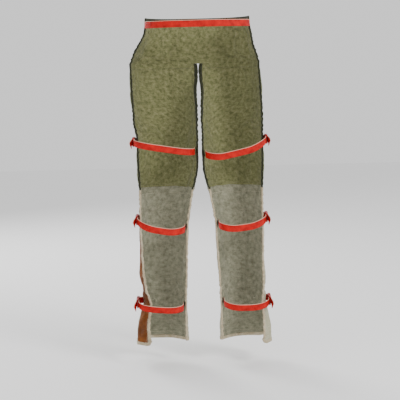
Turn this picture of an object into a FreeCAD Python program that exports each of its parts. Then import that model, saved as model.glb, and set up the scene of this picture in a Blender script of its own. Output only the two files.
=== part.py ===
"""Chainsaw chaps, worn shape: a waist apron on a webbing belt, and two padded leg panels that wrap the front
of each leg and are strapped behind it with three side-release buckles each.

Millimetres, +Z up. The wearer faces -Y, so the wearer's left leg is at +X. The origin is the centre of the
waist opening at the height of the belt. Each leg folds about X at the hip and at the knee, and each buckle
tongue slides out of its receptacle. The left-hand pieces are modelled and the right-hand ones mirror them.
"""
import FreeCAD
import Part
import math
import os
import Sketcher
from FreeCAD import Placement, Rotation, Vector

os.makedirs("parts", exist_ok=True)
doc = FreeCAD.newDocument("ChainsawChaps")

# The driving dimensions, in millimetres and degrees. A leg section is a tangent band: an inner edge run, the
# arc round the front of the leg, and an outer wing. Its turn is how far the inner edge run leans from the
# leg's side (0) to straight across the front of the body (90), and its wrap is how far the arc goes on past
# the leg's outer side.
LEG_LEVELS = ("hip", "groin", "fork", "thigh", "seam", "knee", "calf", "hem")
LEG_TABLE = {
    #        height, radius, centre_x, centre_y, turn, inner_run, wrap, wing
    "hip": (-116, 93, 103, -20, 90, 92, 0, 23),
    "groin": (-200, 93, 101, -12, 45, 36, 0, 15),
    "fork": (-300, 94, 97.5, -4, 0, 10, 0, 7),
    "thigh": (-430, 93, 97.5, 0, 0, 6, 0, 3),
    "seam": (-488, 84, 104, 0, 0, 6, 0, 3),
    "knee": (-580, 75, 113, 0, 0, 6, 0, 3),
    "calf": (-846, 72, 122, 0, 0, 6, 12, 12),
    "hem": (-950, 76, 127, 0, 0, 6, 25, 30),
}
WAIST_TABLE = {
    #        height, corner_radius, corner_x, corner_y
    "rim": (14, 107, 47, 0),
    "waist": (-14, 107, 47, 0),
    "flank": (-52, 100, 68, -8),
    "lap": (-114, 93, 103, -20),
}
STRAP_TABLE = {
    #        height, radius, centre_x, centre_y, depth behind the leg's centre, tilt
    "thigh": (-345, 94, 97.5, -2.5, 92, 8),
    "knee": (-581, 75, 113.5, 0, 78, 9),
    "calf": (-836, 72, 121.5, 0, 74, 5),
}
SIZES = {
    "apron_back": 3,
    "shell_thick": 1,
    "pad_thick": 5,
    "lining_thick": 0.8,
    "layer_gap": 0.6,
    "binding_width": 8,
    "waistband_width": 6,
    "hem_width": 8,
    "knee_gap": 2,
    "webbing_width": 20,
    "webbing_thick": 1.6,
    "belt_gap": 0.6,
    "strap_gap": 1.6,
    "strap_inner_gap": 4,
    "strap_corner": 42,
    "strap_sewn": 13,
    "strap_end": -1,
    "tab_gap": 0.8,
    "tab_sewn_angle": 26,
    "tab_clear": 2,
    "buckle_width": 27,
    "buckle_stand_off": 7.5,
    "buckle_mouth": -4,
    "receptacle_length": 33,
    "receptacle_thick": 9,
    "receptacle_round": 1.6,
    "cavity_depth": 22,
    "cavity_width": 21,
    "cavity_thick": 5.4,
    "window_near": 6,
    "window_far": 17,
    "bar_thick": 3.5,
    "bar_slot": 4.5,
    "tongue_clear": 0.4,
    "frame_length": 23,
    "frame_thick": 4.6,
    "frame_round": 1,
    "lock_slot": 4,
    "lock_slot_width": 21.4,
    "lock_front_slot": 6,
    "lock_rear_slot": 14,
    "prong_thick": 4.4,
    "guide_length": 17,
    "guide_width": 4,
    "arm_length": 19,
    "arm_inner": 5.5,
    "arm_width": 2.4,
    "barb_length": 9,
    "barb_reach": 2.2,
    "tail_length": 56,
    "tail_gap": 0.4,
    "belt_buckle_front": -112.8,
    "belt_end_x": -2,
    "loop_width": 12,
    "loop_thick": 1.2,
    "loop_clear": 0.8,
    "loop_leg": 2.4,
    "loop_reach": 13.4,
    "loop_front_angle": 58,
    "loop_side_angle": 14,
}
TABLES = (
    (LEG_TABLE, "leg", ("height", "radius", "centre_x", "centre_y", "turn", "inner_run", "wrap", "wing")),
    (WAIST_TABLE, "apron", ("height", "radius", "centre_x", "centre_y")),
    (STRAP_TABLE, "strap", ("height", "radius", "centre_x", "centre_y", "depth", "tilt")),
)


class Size:
    """A number together with the spreadsheet expression that gives it."""

    def __init__(self, number, text=None):
        self.number = float(number)
        self.text = text if text is not None else repr(self.number)

    def join(self, other, sign, number):
        return Size(number, f"({self.text} {sign} {as_size(other).text})")

    def __add__(self, other):
        return self.join(other, "+", self.number + as_size(other).number)

    def __sub__(self, other):
        return self.join(other, "-", self.number - as_size(other).number)

    def __mul__(self, other):
        return self.join(other, "*", self.number * as_size(other).number)

    def __truediv__(self, other):
        return self.join(other, "/", self.number / as_size(other).number)

    def __neg__(self):
        return Size(-self.number, f"(0 - {self.text})")


def as_size(value):
    return value if isinstance(value, Size) else Size(value)


def make_sheet():
    """The spreadsheet of driving dimensions, and the sizes that name its cells."""
    sheet = doc.addObject("Spreadsheet::Sheet", "dims")
    values = dict(SIZES)
    for table, prefix, columns in TABLES:
        for row, numbers in table.items():
            for column, number in zip(columns, numbers):
                values[f"{prefix}_{row}_{column}"] = number
    for line, (alias, number) in enumerate(values.items(), 1):
        sheet.set(f"A{line}", alias)
        sheet.set(f"B{line}", str(number))
        sheet.setAlias(f"B{line}", alias)
    doc.recompute()
    return {alias: Size(number, f"dims.{alias}") for alias, number in values.items()}


DIM = make_sheet()
ORIGIN_POINT = (-1, 1)
START, END, CENTRE = 1, 2, 3


def polar(centre, radius, degrees):
    turn = math.radians(degrees)
    return Vector(centre[0] + radius * math.cos(turn), centre[1] + radius * math.sin(turn), 0)


def origin_plane(body, role):
    return next(plane for plane in body.Origin.OriginFeatures if plane.Role == role)


def new_sketch(body, name, height=Size(0)):
    """A sketch on the body's own XY plane, raised to a height."""
    sketch = body.newObject("Sketcher::SketchObject", name)
    sketch.AttachmentSupport = (origin_plane(body, "XY_Plane"), [""])
    sketch.MapMode = "FlatFace"
    sketch.AttachmentOffset = Placement(Vector(0, 0, height.number), Rotation())
    sketch.setExpression("AttachmentOffset.Base.z", height.text)
    return sketch


def drive(sketch, constraint, size):
    """Add a constraint whose value follows a sheet expression."""
    index = sketch.addConstraint(constraint)
    sketch.renameConstraint(index, f"size_{index}")
    sketch.setExpression(f"Constraints.size_{index}", size.text)


def place_point(sketch, geometry, point, spot):
    """Hold a point at signed distances from the sketch's origin."""
    for kind, size in zip(("DistanceX", "DistanceY"), spot):
        ends = (*ORIGIN_POINT, geometry, point) if size.number >= 0 else (geometry, point, *ORIGIN_POINT)
        size = size if size.number >= 0 else -size
        drive(sketch, Sketcher.Constraint(kind, *ends, size.number), size)


class Band:
    """A strip of even thickness along a path that turns one way only: run, arc, run, arc ... run.

    arcs are (centre_x, centre_y, radius, from_angle, to_angle). The first and last run have a length each, or
    the last one ends at a point of the outer side. outward and inward are the two sides' offsets from the
    arcs' radius.
    """

    def __init__(self, arcs, first_run, last_run, outward, inward):
        self.arcs, self.first_run, self.last_run = arcs, first_run, last_run
        self.outward, self.inward = outward, inward

    def side_points(self, offset):
        """The ends of every run on one side, in order."""
        points = []
        for x, y, radius, low, high in self.arcs:
            centre, reach = (x.number, y.number), radius.number + offset.number
            points += [polar(centre, reach, low), polar(centre, reach, high)]
        travel = polar((0, 0), 1, self.arcs[0][3] + 90)
        leave = polar((0, 0), 1, self.arcs[-1][4] + 90)
        points.insert(0, points[0] - travel * self.first_run.number)
        if isinstance(self.last_run, Size):
            length = self.last_run.number
        else:
            end = Vector(self.last_run[0].number, self.last_run[1].number, 0)
            length = (end - points[-1]).dot(leave)
        points.append(points[-1] + leave * length)
        return points

    def draw_side(self, sketch, offset):
        """One side's runs and arcs, tangent to each other. Gives their indices."""
        points = self.side_points(offset)
        indices = []
        for step in range(len(self.arcs) + 1):
            line = Part.LineSegment(points[2 * step], points[2 * step + 1])
            indices.append(sketch.addGeometry(line, False))
            if step < len(self.arcs):
                x, y, radius, low, high = self.arcs[step]
                circle = Part.Circle(Vector(x.number, y.number, 0), Vector(0, 0, 1), (radius + offset).number)
                arc = Part.ArcOfCircle(circle, math.radians(low), math.radians(high))
                indices.append(sketch.addGeometry(arc, False))
        for near, far in zip(indices, indices[1:]):
            sketch.addConstraint(Sketcher.Constraint("Tangent", near, END, far, START))
        return points, indices

    def draw(self, sketch):
        outer_points, outer = self.draw_side(sketch, self.outward)
        inner_points, inner = self.draw_side(sketch, self.inward)
        for end, point in ((0, START), (-1, END)):
            cap_line = Part.LineSegment(outer_points[end], inner_points[end])
            cap = sketch.addGeometry(cap_line, False)
            sketch.addConstraint(Sketcher.Constraint("Coincident", cap, START, outer[end], point))
            sketch.addConstraint(Sketcher.Constraint("Coincident", cap, END, inner[end], point))
            sketch.addConstraint(Sketcher.Constraint("Perpendicular", cap, outer[end]))
            sketch.addConstraint(Sketcher.Constraint("Parallel", outer[end], inner[end]))
        for step, (x, y, radius, _, _) in enumerate(self.arcs):
            outer_arc, inner_arc = outer[2 * step + 1], inner[2 * step + 1]
            sketch.addConstraint(Sketcher.Constraint("Coincident", outer_arc, CENTRE, inner_arc, CENTRE))
            place_point(sketch, outer_arc, CENTRE, (x, y))
            for arc, offset in ((outer_arc, self.outward), (inner_arc, self.inward)):
                reach = radius + offset
                drive(sketch, Sketcher.Constraint("Radius", arc, reach.number), reach)
        self.aim_run(sketch, outer[0], self.arcs[0][3] + 90)
        drive(sketch, Sketcher.Constraint("Distance", outer[0], self.first_run.number), self.first_run)
        if isinstance(self.last_run, Size):
            self.aim_run(sketch, outer[-1], self.arcs[-1][4] + 90)
            drive(sketch, Sketcher.Constraint("Distance", outer[-1], self.last_run.number), self.last_run)
        else:
            place_point(sketch, outer[-1], END, self.last_run)
        return sketch

    @staticmethod
    def aim_run(sketch, run, degrees):
        """Fix the direction of a run."""
        if degrees % 180 == 0:
            sketch.addConstraint(Sketcher.Constraint("Horizontal", run))
        elif degrees % 90 == 0:
            sketch.addConstraint(Sketcher.Constraint("Vertical", run))
        else:
            wrapped = (degrees + 180) % 360 - 180
            sketch.addConstraint(Sketcher.Constraint("Angle", run, math.radians(wrapped)))


def new_body(label):
    body = doc.addObject("PartDesign::Body", label)
    body.Label = label
    return body


def loft(body, kind, name, bands):
    """An additive or subtractive loft through (height, band) pairs, straight between neighbours."""
    sketches = [
        band.draw(new_sketch(body, f"{name}_{level}", height)) for level, (height, band) in enumerate(bands)
    ]
    feature = body.newObject(f"PartDesign::{kind}Loft", name)
    feature.Profile = sketches[0]
    feature.Sections = sketches[1:]
    feature.Ruled = True
    return feature


def pad_band(label, band, placement=Placement(), height=DIM["webbing_width"]):
    """A strip of webbing: a band raised evenly above and below its own plane."""
    body = new_body(label)
    sketch = band.draw(new_sketch(body, f"{label}_path"))
    pad = body.newObject("PartDesign::Pad", f"{label}_pad")
    pad.Profile = sketch
    pad.Midplane = True
    pad.Length = height.number
    pad.setExpression("Length", height.text)
    body.Placement = placement
    return body


def leg_size(level, column):
    return DIM[f"leg_{level}_{column}"]


def leg_band(level, outward, inward, longer=Size(0)):
    """The wrap of one leg panel at a level, longer on both edges by an amount."""
    x, y, radius = (leg_size(level, column) for column in ("centre_x", "centre_y", "radius"))
    turn, wrap = (leg_size(level, column).number for column in ("turn", "wrap"))
    first_run, last_run = (leg_size(level, column) + longer for column in ("inner_run", "wing"))
    return Band([(x, y, radius, 180 + turn, 360 + wrap)], first_run, last_run, outward, inward)


def layer_offsets():
    """Outward and inward offset of each layer from the shell's outer face."""
    shell = (Size(0), -DIM["shell_thick"])
    pad_top = -(DIM["shell_thick"] + DIM["layer_gap"])
    pad = (pad_top, pad_top - DIM["pad_thick"])
    lining_top = pad[1] - DIM["layer_gap"]
    lining = (lining_top, lining_top - DIM["lining_thick"])
    return {"shell": shell, "pad": pad, "lining": lining}


def panel_layer(label, levels, heights, outward, inward):
    body = new_body(label)
    bands = [(heights[level], leg_band(level, outward, inward)) for level in levels]
    loft(body, "Additive", f"{label}_wrap", bands)
    return body


def panel_binding(label, levels, heights, thick, closed_below):
    """The folded tape round a panel's edges: the whole wrap less everything inside the tape."""
    body = new_body(label)
    width, spare = DIM["binding_width"], DIM["layer_gap"]
    bands = [(heights[level], leg_band(level, Size(0), -thick, width)) for level in levels]
    if closed_below:
        foot = leg_band(levels[-1], Size(0), -thick, width)
        bands.append((heights[levels[-1]] - DIM["hem_width"], foot))
    loft(body, "Additive", f"{label}_wrap", bands)
    doc.recompute()
    whole = body.Shape.Volume
    inner = dict(heights)
    inner[levels[0]] = heights[levels[0]] + spare
    inner[levels[-1]] = heights[levels[-1]] - (DIM["layer_gap"] / 2 if closed_below else spare)
    reach = spare / 2
    bands = [(inner[level], leg_band(level, spare, -(thick + spare), reach)) for level in levels]
    loft(body, "Subtractive", f"{label}_window", bands)
    doc.recompute()
    assert body.Shape.Volume < whole / 2, label
    return body


def leg_panels():
    """The thigh and shin panels of the left leg: shell, cut-resistant pad, lining and edge binding."""
    offsets = layer_offsets()
    thick = -offsets["lining"][1]
    parts = {"thigh": LEG_LEVELS[:5], "shin": LEG_LEVELS[4:]}
    made = []
    for part, levels in parts.items():
        heights = {level: leg_size(level, "height") for level in levels}
        if part == "shin":
            heights["seam"] = heights["seam"] - DIM["knee_gap"]
        for layer, (outward, inward) in offsets.items():
            made.append(panel_layer(f"left_{part}_{layer}", levels, heights, outward, inward))
        made.append(panel_binding(f"left_{part}_binding", levels, heights, thick, part == "shin"))
    return made


def apron_band(level, outward, inward, longer=Size(0)):
    """The apron's section at a level: the front half of the body's outline."""
    radius, x, y = (DIM[f"apron_{level}_{column}"] for column in ("radius", "centre_x", "centre_y"))
    wing = DIM["apron_back"] - y + longer
    arcs = [(-x, y, radius, 180, 270), (x, y, radius, 270, 360)]
    return Band(arcs, wing, wing, outward, inward)


def apron():
    """The unpadded front panel that hangs on the belt: shell, lining and binding."""
    heights = {level: DIM[f"apron_{level}_height"] for level in WAIST_TABLE}
    lining_top = -(DIM["shell_thick"] + DIM["layer_gap"])
    thick = DIM["shell_thick"] + DIM["layer_gap"] + DIM["lining_thick"]
    layers = {
        "apron_shell": (Size(0), -DIM["shell_thick"]),
        "apron_lining": (lining_top, -thick),
    }
    made = []
    for label, (outward, inward) in layers.items():
        body = new_body(label)
        loft(body, "Additive", f"{label}_wrap", [(heights[k], apron_band(k, outward, inward)) for k in heights])
        made.append(body)
    binding = new_body("apron_binding")
    whole = dict(heights)
    whole["rim"] = heights["rim"] + DIM["waistband_width"]
    width, spare = DIM["waistband_width"], DIM["layer_gap"]
    bands = [(whole[k], apron_band(k, Size(0), -thick, width)) for k in whole]
    loft(binding, "Additive", "apron_binding_wrap", bands)
    doc.recompute()
    volume = binding.Shape.Volume
    inside = dict(heights)
    inside["rim"] = heights["rim"] + spare / 2
    inside["lap"] = heights["lap"] - spare
    bands = [(inside[k], apron_band(k, spare, -(thick + spare), spare / 2)) for k in inside]
    loft(binding, "Subtractive", "apron_binding_window", bands)
    doc.recompute()
    assert binding.Shape.Volume < volume / 2, "apron_binding"
    return made + [binding]


def belt_webbing():
    """The belt: from the receptacle's bar, round the back, to the ladder lock of the tongue."""
    radius, x, y = (DIM[f"apron_waist_{column}"] for column in ("radius", "centre_x", "centre_y"))
    bar = DIM["belt_end_x"] + DIM["receptacle_length"] - DIM["buckle_mouth"] - DIM["strap_end"]
    arcs = [(x, y, radius, 270, 450), (-x, y, radius, 90, 270)]
    inward = DIM["belt_gap"]
    outward = inward + DIM["webbing_thick"]
    return pad_band("belt_webbing", Band(arcs, x - bar, x + DIM["belt_end_x"], outward, inward))


def block(name, spans, round_radius=None):
    """A box between three (low, high) pairs of sizes, with all its edges rounded if asked."""
    box = doc.addObject("Part::Box", name)
    for (low, high), side, axis in zip(spans, ("Length", "Width", "Height"), "xyz"):
        box.setExpression(side, (high - low).text)
        box.setExpression(f"Placement.Base.{axis}", low.text)
    if round_radius is None:
        return box
    doc.recompute()
    rounded = doc.addObject("Part::Fillet", f"{name}_rounded")
    rounded.Base = box
    rounded.Edges = [(edge, round_radius.number, round_radius.number) for edge in range(1, 13)]
    return rounded


def about(half):
    return (-half, half)


def cut_away(label, base, tools):
    """The base less every tool, as one named object."""
    tool = tools[0]
    if len(tools) > 1:
        tool = doc.addObject("Part::MultiFuse", f"{label}_openings")
        tool.Shapes = tools
    cut = doc.addObject("Part::Cut", f"{label}_cut")
    cut.Base, cut.Tool = base, tool
    cut.Label = label
    return cut


def receptacle(label, placement):
    """The buckle's socket, in its own frame: x towards the mouth, y across the webbing, z outward."""
    length, half = DIM["receptacle_length"], DIM["buckle_width"] / 2
    zero = Size(0)
    spare = DIM["bar_thick"]
    body_spans = [(-length, zero), about(half), about(DIM["receptacle_thick"] / 2)]
    shell = block(f"{label}_block", body_spans, DIM["receptacle_round"])
    cavity_spans = [(-DIM["cavity_depth"], spare), about(DIM["cavity_width"] / 2), about(DIM["cavity_thick"] / 2)]
    window_spans = [(-DIM["window_far"], -DIM["window_near"]), about(half + spare), about(DIM["cavity_thick"] / 2)]
    slot_start = DIM["bar_thick"] - length
    slot_spans = [
        (slot_start, slot_start + DIM["bar_slot"]),
        about(DIM["lock_slot_width"] / 2),
        about(DIM["receptacle_thick"]),
    ]
    tools = [
        block(f"{label}_cavity", cavity_spans),
        block(f"{label}_window", window_spans),
        block(f"{label}_slot", slot_spans),
    ]
    made = cut_away(label, shell, tools)
    made.Placement = placement
    return made


def tongue(label, placement):
    """The buckle's tongue: a ladder lock, a centre guide and two barbed arms, in the receptacle's frame."""
    clear, half = DIM["tongue_clear"], DIM["buckle_width"] / 2
    frame_spans = [(clear, clear + DIM["frame_length"]), about(half), about(DIM["frame_thick"] / 2)]
    ladder = block(f"{label}_ladder", frame_spans, DIM["frame_round"])
    slot_half = DIM["lock_slot_width"] / 2
    slots = []
    for place in ("front", "rear"):
        start = DIM[f"lock_{place}_slot"]
        spans = [(start, start + DIM["lock_slot"]), about(slot_half), about(DIM["frame_thick"])]
        slots.append(block(f"{label}_{place}_slot", spans))
    frame = cut_away(f"{label}_frame", ladder, slots)
    root, across = clear + DIM["bar_thick"] / 2, about(DIM["prong_thick"] / 2)
    guide = block(f"{label}_guide", [(-DIM["guide_length"], root), about(DIM["guide_width"] / 2), across])
    near, far = DIM["arm_inner"], DIM["arm_inner"] + DIM["arm_width"]
    tip, barb = far + DIM["barb_reach"], DIM["barb_length"] - DIM["arm_length"]
    pieces = [frame, guide]
    for side, flip in (("upper", False), ("lower", True)):
        arm_span = (-far, -near) if flip else (near, far)
        barb_span = (-tip, -near) if flip else (near, tip)
        pieces.append(block(f"{label}_{side}_arm", [(-DIM["arm_length"], root), arm_span, across]))
        pieces.append(block(f"{label}_{side}_barb", [(-DIM["arm_length"], barb), barb_span, across]))
    made = doc.addObject("Part::MultiFuse", f"{label}_whole")
    made.Shapes = pieces
    made.Label = label
    made.Placement = placement
    return made


def tail(label, placement):
    """The free end of the webbing, doubled back over the ladder lock."""
    low = DIM["frame_thick"] / 2 + DIM["tail_gap"]
    start = DIM["lock_slot"] + DIM["tongue_clear"]
    spans = [
        (start, start + DIM["tail_length"]),
        about(DIM["webbing_width"] / 2),
        (low, low + DIM["webbing_thick"]),
    ]
    made = doc.addObject("Part::Compound", f"{label}_whole")
    made.Links = [block(f"{label}_strip", spans)]
    made.Label = label
    made.Placement = placement
    return made


def buckle(stem, placement):
    """The hard and soft pieces of one buckle, closed."""
    return [
        receptacle(f"{stem}_receptacle", placement),
        tongue(f"{stem}_tongue", placement),
        tail(f"{stem}_tail", placement),
    ]


def strap_band(row):
    """A leg strap's path in the leg's own frame: up the outer side, across the back, down the inner side."""
    radius, depth = DIM[f"strap_{row}_radius"], DIM[f"strap_{row}_depth"]
    corner = DIM["strap_corner"]
    outer_face = radius + DIM["strap_gap"]
    inner_face = radius + layer_offsets()["lining"][1] - DIM["strap_inner_gap"] - DIM["webbing_thick"]
    arc_y = depth - corner
    arcs = [
        (outer_face - corner, arc_y, corner, 0, 90),
        (corner - inner_face, arc_y, corner, 90, 180),
    ]
    first_run = arc_y - DIM["strap_end"]
    last_run = arc_y + DIM["strap_sewn"]
    return Band(arcs, first_run, last_run, DIM["webbing_thick"], Size(0))


def strap_placement(row):
    """Tilted about the outer side, so that the inner end is the lower one."""
    centre = Vector(DIM[f"strap_{row}_centre_x"].number, 0, DIM[f"strap_{row}_height"].number)
    pivot = Vector(DIM[f"strap_{row}_radius"].number, 0, 0)
    turn = Rotation(Vector(0, 1, 0), -DIM[f"strap_{row}_tilt"].number)
    return Placement(centre, Rotation()).multiply(Placement(Vector(), turn, pivot))


def tab(label, row):
    """The short webbing loop that holds a receptacle: sewn to the shell, then straight to the bar."""
    radius = DIM[f"strap_{row}_radius"] + DIM["tab_gap"]
    thick = DIM["webbing_thick"]
    bar_x = DIM[f"strap_{row}_radius"] + DIM["buckle_stand_off"]
    bar_y = DIM["buckle_mouth"] - DIM["receptacle_length"] - DIM["tab_clear"] - DIM[f"strap_{row}_centre_y"]
    reach = math.hypot(bar_x.number, bar_y.number)
    bearing = math.degrees(math.atan2(bar_y.number, bar_x.number))
    leave = bearing - math.degrees(math.acos((radius + thick).number / reach))
    arcs = [(Size(0), Size(0), radius, leave - DIM["tab_sewn_angle"].number, leave)]
    band = Band(arcs, DIM["bar_slot"], (bar_x, bar_y), thick, Size(0))
    centre = Vector(*(DIM[f"strap_{row}_{place}"].number for place in ("centre_x", "centre_y", "height")))
    return pad_band(label, band, Placement(centre, Rotation()))


def leg_straps():
    """Three straps on the left leg, each with its tab, buckle and tail."""
    made = []
    for row in STRAP_TABLE:
        stem = f"left_{row}"
        made.append(pad_band(f"{stem}_strap", strap_band(row), strap_placement(row)))
        made.append(tab(f"{stem}_tab", row))
        side = DIM[f"strap_{row}_centre_x"] + DIM[f"strap_{row}_radius"] + DIM["buckle_stand_off"]
        spot = Vector(side.number, DIM["buckle_mouth"].number, DIM[f"strap_{row}_height"].number)
        axes = Rotation(Vector(0, 1, 0), Vector(0, 0, 1), Vector(1, 0, 0), "ZXY")
        made += buckle(stem, Placement(spot, axes))
    return made


def belt_buckle():
    mouth = DIM["belt_end_x"] - DIM["strap_end"] - DIM["buckle_mouth"]
    spot = Vector(mouth.number, DIM["belt_buckle_front"].number, 0)
    axes = Rotation(Vector(-1, 0, 0), Vector(0, 0, -1), Vector(0, -1, 0), "ZXY")
    return buckle("belt", Placement(spot, axes))


def belt_loops():
    """Four sewn loops that carry the belt on the apron, as one node of separate solids."""
    radius, x = DIM["apron_waist_radius"], DIM["apron_waist_centre_x"]
    half_width, reach = DIM["loop_width"] / 2, DIM["loop_reach"]
    cover = radius + DIM["belt_gap"] + DIM["webbing_thick"] + DIM["loop_clear"]
    foot = radius + DIM["belt_gap"]
    inside = reach - DIM["loop_leg"]
    pieces = []
    for side in (1, -1):
        for name in ("front", "side"):
            stem = f"{'left' if side > 0 else 'right'}_{name}_loop"
            whole = block(f"{stem}_block", [(foot, cover + DIM["loop_thick"]), about(half_width), about(reach)])
            gap = block(f"{stem}_gap", [(foot - half_width, cover), about(reach), about(inside)])
            loop = cut_away(stem, whole, [gap])
            angle = -DIM[f"loop_{name}_angle"].number
            angle = angle if side > 0 else 180 - angle
            loop.Placement = Placement(Vector(side * x.number, 0, 0), Rotation(Vector(0, 0, 1), angle))
            pieces.append(loop)
    group = doc.addObject("Part::Compound", "belt_loops")
    group.Links = pieces
    return group


def mirror_right(source):
    """The right-hand twin of a left-hand piece."""
    label = source.Label.replace("left", "right", 1)
    twin = doc.addObject("Part::Mirroring", f"{label}_mirror")
    twin.Source = source
    twin.Normal = Vector(1, 0, 0)
    twin.Label = label
    return twin


def write(nodes):
    """Check every object and write each node's solids to its own file."""
    doc.recompute()
    for thing in doc.Objects:
        assert "Invalid" not in thing.State and "Error" not in thing.State, (thing.Name, thing.State)
    for node in nodes:
        shape = node.Shape
        assert not shape.isNull() and shape.isValid() and shape.Volume > 0, node.Label
        shape.exportStep(f"parts/{node.Label}.step")
        print(f"{node.Label}: {len(shape.Solids)} solid(s), {shape.Volume / 1000:.2f} cm3")


left = leg_panels() + leg_straps()
doc.recompute()
middle = apron() + [belt_webbing(), *belt_buckle(), belt_loops()]
nodes = middle + left + [mirror_right(piece) for piece in left]
write(nodes)
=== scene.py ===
"""Chainsaw chaps as they hang when worn, seen from behind, with nobody in them. Metres, in the CAD frame.

Each leg's cloth is one wrapped surface that is let settle as cloth, and every layer on it (shell, pad,
lining, edge tape, stitches) lies at its own depth on that surface. The left leg is made at +X and the right
one is its mirror, with folds of its own.
"""
import bpy
import math
import numpy as np
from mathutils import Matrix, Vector


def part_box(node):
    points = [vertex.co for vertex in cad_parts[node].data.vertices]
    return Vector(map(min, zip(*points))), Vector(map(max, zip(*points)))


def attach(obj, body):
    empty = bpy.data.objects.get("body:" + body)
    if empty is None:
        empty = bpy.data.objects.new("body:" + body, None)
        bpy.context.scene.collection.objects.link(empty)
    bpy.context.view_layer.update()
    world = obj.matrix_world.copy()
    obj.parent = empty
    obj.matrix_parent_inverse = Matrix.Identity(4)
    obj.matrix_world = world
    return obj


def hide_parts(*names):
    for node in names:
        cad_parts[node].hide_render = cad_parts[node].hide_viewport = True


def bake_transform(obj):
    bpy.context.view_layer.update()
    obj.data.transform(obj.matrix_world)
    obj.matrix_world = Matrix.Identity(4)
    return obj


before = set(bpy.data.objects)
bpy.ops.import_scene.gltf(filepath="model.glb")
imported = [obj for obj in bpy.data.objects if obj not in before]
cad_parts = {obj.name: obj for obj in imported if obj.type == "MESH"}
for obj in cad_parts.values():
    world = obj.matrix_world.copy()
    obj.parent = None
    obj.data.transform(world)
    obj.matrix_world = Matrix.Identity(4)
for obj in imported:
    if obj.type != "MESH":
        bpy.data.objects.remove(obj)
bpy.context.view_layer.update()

MM = 0.001
SIDES = {"left": 1, "right": -1}

# Sections of the wrap, as the CAD has them: a run along the inner edge, an arc round the leg, and a wing on
# the outer side. The columns are height, radius, centre x, centre y, turn, inner run, wrap and wing, in mm,
# with the turn and the wrap in degrees.
LEG_SECTIONS = np.array([
    (-116, 93, 103, -20, 90, 92, 0, 23),
    (-200, 93, 101, -12, 45, 36, 0, 15),
    (-300, 94, 97.5, -4, 0, 10, 0, 7),
    (-430, 93, 97.5, 0, 0, 6, 0, 3),
    (-488, 84, 104, 0, 0, 6, 0, 3),
    (-580, 75, 113, 0, 0, 6, 0, 3),
    (-846, 72, 122, 0, 0, 6, 12, 12),
    (-950, 76, 127, 0, 0, 6, 25, 30),
])
APRON_SECTIONS = np.array([
    (14, 107, 47, 0, 90, 47, 0, 3),
    (-14, 107, 47, 0, 90, 47, 0, 3),
    (-52, 100, 68, -8, 90, 68, 0, 11),
    (-114, 93, 103, -20, 90, 103, 0, 23),
])
SECTION_SOFTNESS = 14 * MM
LEG_THICK, APRON_THICK = 8 * MM, 2.4 * MM
HIP_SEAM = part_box("left_thigh_shell")[1].z + 1 * MM
KNEE_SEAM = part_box("left_shin_shell")[1].z + 1 * MM
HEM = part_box("left_shin_shell")[0].z
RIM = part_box("apron_shell")[1].z
WEBBING_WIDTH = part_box("belt_webbing")[1].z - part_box("belt_webbing")[0].z


# ---- the camera, the light and the floor ----

def aim(obj, place, target, roll=0.0):
    """Put a camera or light at a place and turn its -Z towards a target."""
    turn = (Vector(target) - Vector(place)).to_track_quat("-Z", "Y").to_matrix().to_4x4()
    obj.matrix_world = turn
    obj.location = place
    obj.rotation_mode = "XYZ"
    obj.rotation_euler.rotate_axis("Z", roll)


def camera():
    """Behind the wearer, a little above the knees' height and looking slightly down."""
    data = bpy.data.cameras.new("camera")
    data.lens = 96
    obj = bpy.data.objects.new("camera", data)
    bpy.context.scene.collection.objects.link(obj)
    aim(obj, (0, 3.2, -0.15), (0.004, 0, -0.525), math.radians(-1.4))
    bpy.context.scene.camera = obj


def lights():
    """Soft studio light: a large key, a fill, a light from the front of the chaps, and a pale surround."""
    for name, place, size, power in (
        ("key", (-2.2, 1.9, 1.1), 0.9, 74),
        ("fill", (2.4, 2.2, 0.2), 2.0, 16),
        ("front", (1.6, -2.5, 1.0), 1.2, 66),
    ):
        data = bpy.data.lights.new(name, "AREA")
        data.size = size
        data.energy = power
        obj = bpy.data.objects.new(name, data)
        bpy.context.scene.collection.objects.link(obj)
        aim(obj, place, (0, 0, -0.5))
    world = bpy.data.worlds.new("studio")
    world.use_nodes = True
    background = world.node_tree.nodes["Background"]
    background.inputs["Color"].default_value = (1, 1, 1, 1)
    background.inputs["Strength"].default_value = 1.0
    bpy.context.scene.world = world


# ---- materials ----

def linear(*srgb):
    """A node colour from 0-255 sRGB values."""
    return tuple(((v / 255 + 0.055) / 1.055) ** 2.4 if v > 10 else v / 255 / 12.92 for v in srgb) + (1.0,)


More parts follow.
